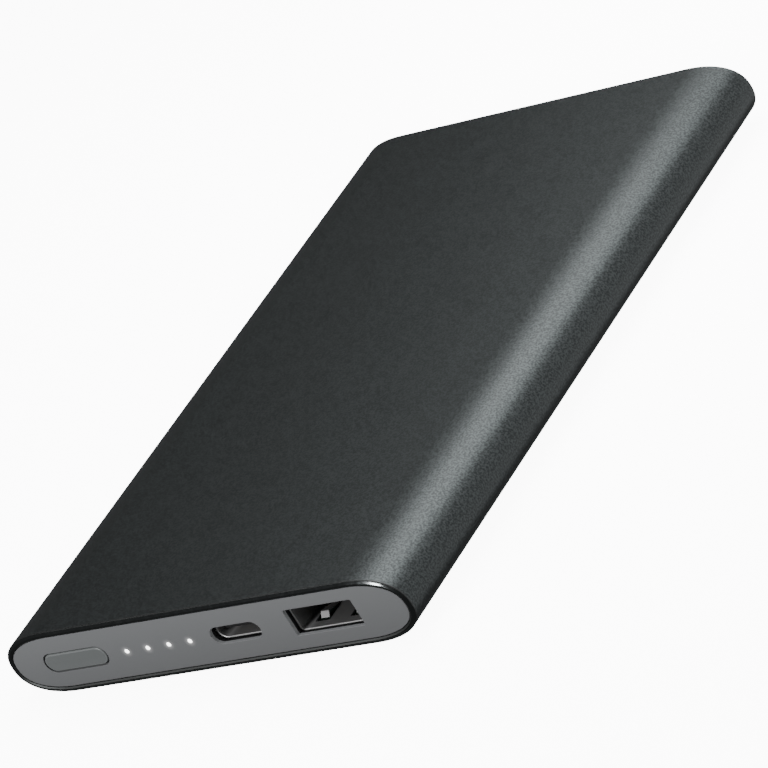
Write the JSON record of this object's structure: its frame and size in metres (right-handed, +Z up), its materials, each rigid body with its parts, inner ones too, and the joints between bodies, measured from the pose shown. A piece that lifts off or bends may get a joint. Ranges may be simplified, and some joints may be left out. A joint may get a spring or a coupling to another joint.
{
  "type": "power bank",
  "caption": "Slim power bank: an anodised aluminium sleeve with rounded sides, a grey end panel with a push button, charge lights, and USB-C and USB-A sockets.",
  "frame": {"origin": "middle of the bottom face", "axes": "+Y along the body away from the sockets, +Z up through its thickness, +X across it towards the USB-A socket"},
  "size_m": [0.075, 0.123, 0.011],
  "materials": {
    "anodised_aluminium": "fine bead-blasted, anodised dark grey-green, with a polished bevel at the mouth",
    "panel_plastic": "matte moulded mid-grey",
    "button_plastic": "matte moulded mid-grey, slightly greener than the panel",
    "frame_plastic": "black glass-filled moulding",
    "adhesive": "double-sided tape",
    "screw_steel": "zinc-plated steel",
    "socket_steel": "dark nickel-plated sheet steel",
    "socket_plastic": "black moulded insulator",
    "gold_contact": "gold-plated copper alloy",
    "switch_plastic": "dark grey moulding",
    "dome_steel": "bright spring steel",
    "clear_acrylic": "clear acrylic, lit white at its tips",
    "led_ceramic": "white package",
    "board_laminate": "dark solder mask on glass laminate",
    "chip_epoxy": "black moulded epoxy",
    "ferrite": "dark grey sintered ferrite",
    "capacitor_epoxy": "yellow-brown moulded epoxy",
    "tray_plastic": "off-white moulding",
    "cell_foil": "silver laminated foil pouch",
    "foam": "black closed-cell foam",
    "nickel": "nickel strip",
    "insulation_film": "amber film"
  },
  "bodies": {
    "housing": {"casing_sleeve": "anodised_aluminium", "front_panel": "panel_plastic", "rear_panel": "panel_plastic", "front_carrier": "frame_plastic", "rear_carrier": "frame_plastic", "front_adhesive": "adhesive", "rear_adhesive": "adhesive", "frame_screw_1": "screw_steel", "frame_screw_2": "screw_steel", "frame_screw_3": "screw_steel", "frame_screw_4": "screw_steel", "usb_a_shell": "socket_steel", "usb_c_shell": "socket_steel", "usb_a_tongue": "socket_plastic", "usb_c_tongue": "socket_plastic", "usb_c_base": "socket_plastic", "usb_a_contact_1": "gold_contact", "usb_a_contact_2": "gold_contact", "usb_a_contact_3": "gold_contact", "usb_a_contact_4": "gold_contact", "switch_body": "switch_plastic", "switch_dome": "dome_steel", "light_guide": "clear_acrylic", "led_1": "led_ceramic", "led_2": "led_ceramic", "led_3": "led_ceramic", "led_4": "led_ceramic", "main_board": "board_laminate", "button_led_board": "board_laminate", "charge_controller": "chip_epoxy", "boost_converter": "chip_epoxy", "protection_chip": "chip_epoxy", "temperature_sensor": "chip_epoxy", "power_inductor": "ferrite", "output_capacitor_1": "capacitor_epoxy", "output_capacitor_2": "capacitor_epoxy", "cell_tray": "tray_plastic", "battery_cell_left": "cell_foil", "battery_cell_right": "cell_foil", "foam_pad_left": "foam", "foam_pad_right": "foam", "end_foam": "foam", "cell_tab_1": "nickel", "cell_tab_2": "nickel", "cell_tab_3": "nickel", "cell_tab_4": "nickel", "insulation_sheet": "insulation_film"},
    "button": {"power_button": "button_plastic"},
    "plunger": {"switch_plunger": "socket_plastic"}
  },
  "joints": [
    {"name": "power_button_slide", "type": "slide", "parent": "housing", "child": "button", "axis": [0, 1, 0], "range_m": [0, 0.0003], "stiffness_N_per_m": 1200, "springref_m": -0.0004},
    {"name": "switch_plunger_slide", "type": "slide", "parent": "housing", "child": "plunger", "axis": [0, 1, 0], "range_m": [0, 0.0003]}
  ],
  "couplings": [
    {"joint": "switch_plunger_slide", "follows": "power_button_slide", "ratio": 1}
  ]
}
